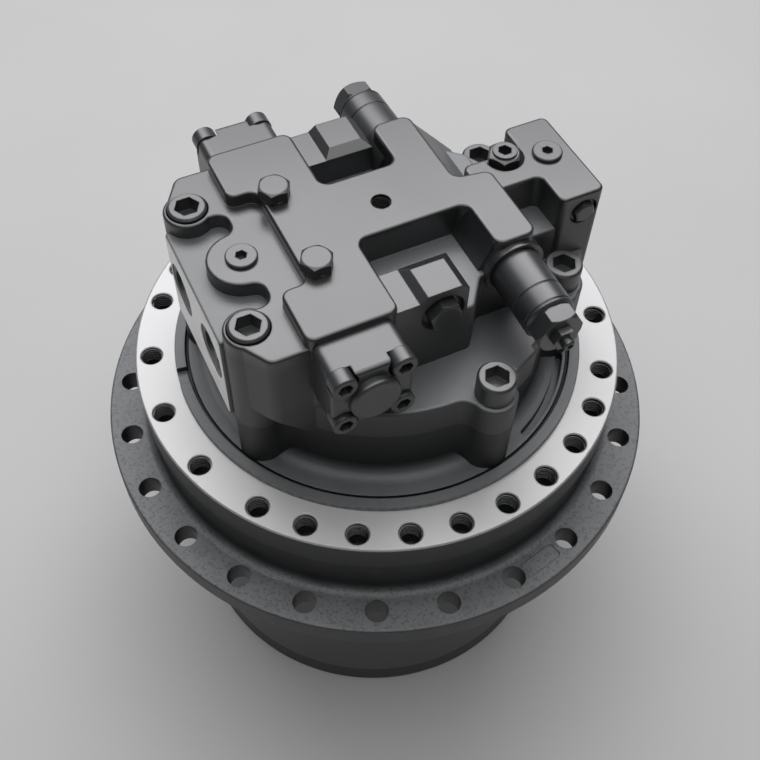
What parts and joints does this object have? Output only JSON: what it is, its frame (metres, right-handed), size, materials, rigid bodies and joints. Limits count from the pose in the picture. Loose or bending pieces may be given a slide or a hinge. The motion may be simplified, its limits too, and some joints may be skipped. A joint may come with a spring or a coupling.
{
  "type": "excavator final drive",
  "caption": "Tracked-machine final drive: hydraulic travel motor with valve block, bolted frame flange and a turning sprocket hub over a two-stage planetary gearbox.",
  "frame": {"origin": "middle of the gear cover's ground face, on the drive axis", "axes": "+Z along the drive axis from the gear cover to the motor, +X to the side without hose ports, -Y to the end of the valve block that the picture shows nearest"},
  "size_m": [0.4779, 0.478, 0.499],
  "materials": {
    "painted_casting": "satin",
    "painted_steel": "satin",
    "ground_steel": "machined",
    "hard_steel": "hardened",
    "cast_inside": "cast",
    "bearing_bronze": "machined",
    "seal_rubber": "matte"
  },
  "bodies": {
    "housing": {"motor_case": "painted_casting", "valve_block": "painted_casting", "block_bolts": "painted_steel", "spool_cap_front": "painted_casting", "spool_cap_back": "painted_casting", "cap_screws": "painted_steel", "top_plugs": "painted_steel", "check_plugs": "painted_steel", "side_plug": "painted_steel", "flush_plugs": "painted_steel", "drain_fitting": "painted_steel", "relief_valves": "painted_steel", "relief_lock_nuts": "painted_steel", "relief_adjusters": "painted_steel", "second_carrier": "cast_inside", "second_pins": "ground_steel", "second_sleeves": "bearing_bronze", "carrier_bolts": "hard_steel", "bearing_inner_rings": "ground_steel", "case_seal_ring": "hard_steel", "case_seal_rubber": "seal_rubber", "swash_plate": "hard_steel", "brake_plates": "hard_steel", "shaft_seal": "seal_rubber", "shaft_bearings": "ground_steel", "valve_plate": "bearing_bronze", "spool_springs": "hard_steel", "brake_spring": "hard_steel"},
    "hub": {"hub": "painted_casting", "ring_gear": "painted_steel", "gear_cover": "painted_casting", "cover_bolts": "painted_steel", "oil_plugs": "painted_steel", "bearing_outer_rings": "ground_steel", "hub_seal_ring": "hard_steel", "hub_seal_rubber": "seal_rubber"},
    "ball_train": {"bearing_balls": "ground_steel", "bearing_cages": "bearing_bronze"},
    "first_carrier": {"first_carrier": "cast_inside", "first_pins": "ground_steel", "first_sleeves": "bearing_bronze", "second_sun": "hard_steel"},
    "shaft": {"first_sun": "hard_steel", "motor_shaft": "hard_steel", "cylinder_block": "cast_inside", "pistons": "ground_steel", "piston_shoes": "bearing_bronze", "shoe_retainer": "hard_steel", "friction_discs": "bearing_bronze"},
    "first_planet_1": {"first_planet_1": "hard_steel"},
    "first_planet_2": {"first_planet_2": "hard_steel"},
    "first_planet_3": {"first_planet_3": "hard_steel"},
    "second_planet_1": {"second_planet_1": "hard_steel"},
    "second_planet_2": {"second_planet_2": "hard_steel"},
    "second_planet_3": {"second_planet_3": "hard_steel"},
    "second_planet_4": {"second_planet_4": "hard_steel"},
    "brake_piston": {"brake_piston": "cast_inside"},
    "balance_spool": {"balance_spool": "ground_steel"}
  },
  "joints": [
    {"name": "hub_spin", "type": "hinge", "parent": "housing", "child": "hub", "pos_m": [0, 0, 0], "axis": [0, 0, 1], "continuous": true},
    {"name": "ball_train_spin", "type": "hinge", "parent": "housing", "child": "ball_train", "pos_m": [0, 0, 0], "axis": [0, 0, 1], "continuous": true},
    {"name": "first_carrier_spin", "type": "hinge", "parent": "housing", "child": "first_carrier", "pos_m": [0, 0, 0], "axis": [0, 0, 1], "continuous": true},
    {"name": "shaft_spin", "type": "hinge", "parent": "housing", "child": "shaft", "pos_m": [0, 0, 0], "axis": [0, 0, 1], "continuous": true},
    {"name": "first_planet_1_spin", "type": "hinge", "parent": "first_carrier", "child": "first_planet_1", "pos_m": [0.09, 0, 0.057], "axis": [0, 0, 1], "continuous": true},
    {"name": "first_planet_2_spin", "type": "hinge", "parent": "first_carrier", "child": "first_planet_2", "pos_m": [-0.045, 0.07794, 0.057], "axis": [0, 0, 1], "continuous": true},
    {"name": "first_planet_3_spin", "type": "hinge", "parent": "first_carrier", "child": "first_planet_3", "pos_m": [-0.045, -0.07794, 0.057], "axis": [0, 0, 1], "continuous": true},
    {"name": "second_planet_1_spin", "type": "hinge", "parent": "housing", "child": "second_planet_1", "pos_m": [0.096, 0, 0.125], "axis": [0, 0, 1], "continuous": true},
    {"name": "second_planet_2_spin", "type": "hinge", "parent": "housing", "child": "second_planet_2", "pos_m": [0, 0.096, 0.125], "axis": [0, 0, 1], "continuous": true},
    {"name": "second_planet_3_spin", "type": "hinge", "parent": "housing", "child": "second_planet_3", "pos_m": [-0.096, 0, 0.125], "axis": [0, 0, 1], "continuous": true},
    {"name": "second_planet_4_spin", "type": "hinge", "parent": "housing", "child": "second_planet_4", "pos_m": [0, -0.096, 0.125], "axis": [0, 0, 1], "continuous": true},
    {"name": "brake_release", "type": "slide", "parent": "housing", "child": "brake_piston", "axis": [0, 0, 1], "range_m": [0, 0.0025], "stiffness_N_per_m": 40000, "springref_m": -0.002, "deforming": ["brake_spring"]},
    {"name": "spool_shift", "type": "slide", "parent": "housing", "child": "balance_spool", "axis": [0, 1, 0], "range_m": [-0.007, 0.007], "stiffness_N_per_m": 8000, "deforming": ["spool_springs"]}
  ],
  "couplings": [
    {"joint": "ball_train_spin", "follows": "hub_spin", "ratio": 0.53774},
    {"joint": "first_carrier_spin", "follows": "hub_spin", "ratio": -3.5714},
    {"joint": "shaft_spin", "follows": "hub_spin", "ratio": -26.429},
    {"joint": "first_planet_1_spin", "follows": "hub_spin", "ratio": 11.429},
    {"joint": "first_planet_2_spin", "follows": "hub_spin", "ratio": 11.429},
    {"joint": "first_planet_3_spin", "follows": "hub_spin", "ratio": 11.429},
    {"joint": "second_planet_1_spin", "follows": "hub_spin", "ratio": 2.7778},
    {"joint": "second_planet_2_spin", "follows": "hub_spin", "ratio": 2.7778},
    {"joint": "second_planet_3_spin", "follows": "hub_spin", "ratio": 2.7778},
    {"joint": "second_planet_4_spin", "follows": "hub_spin", "ratio": 2.7778}
  ]
}
